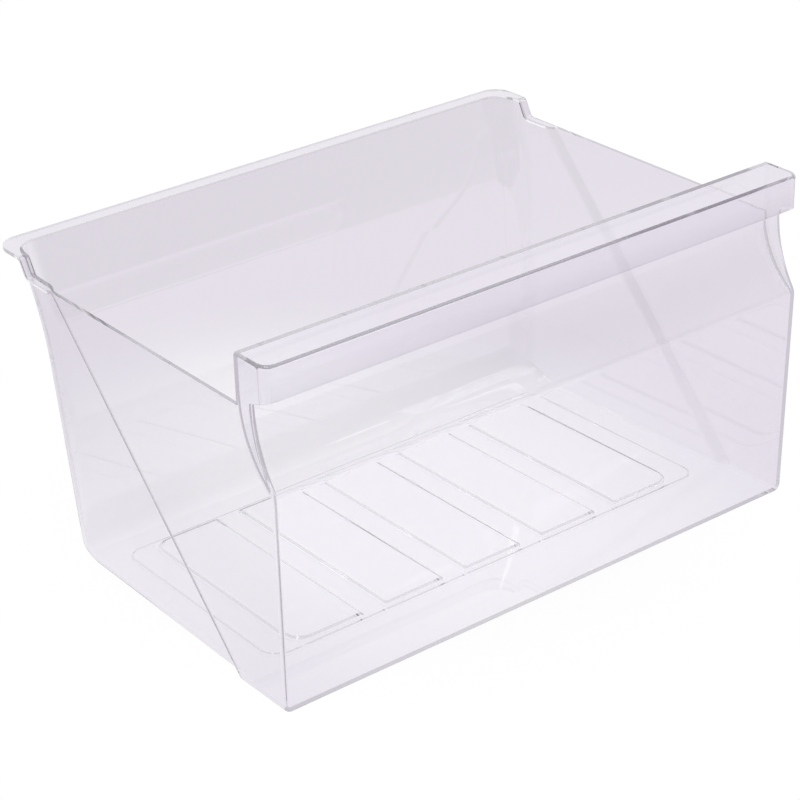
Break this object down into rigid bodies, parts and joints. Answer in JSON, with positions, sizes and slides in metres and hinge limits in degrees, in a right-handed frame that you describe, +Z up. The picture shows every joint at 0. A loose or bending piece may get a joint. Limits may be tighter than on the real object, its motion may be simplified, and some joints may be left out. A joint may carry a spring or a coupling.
{
  "type": "freezer drawer",
  "caption": "Clear moulded freezer drawer with a flared rear wall, set-in side walls, a box handle over a finger recess and raised pads on the floor.",
  "frame": {"origin": "centre of the bounding box at the height of the flat underside", "axes": "+X to the right along the width, -Y towards the handle at the front, +Z up"},
  "size_m": [0.4136, 0.281, 0.2198],
  "materials": {
    "clear_plastic": "clear moulded polystyrene with a faint lilac tint"
  },
  "bodies": {
    "root": {"freezer_drawer": "clear_plastic"}
  },
  "joints": []
}
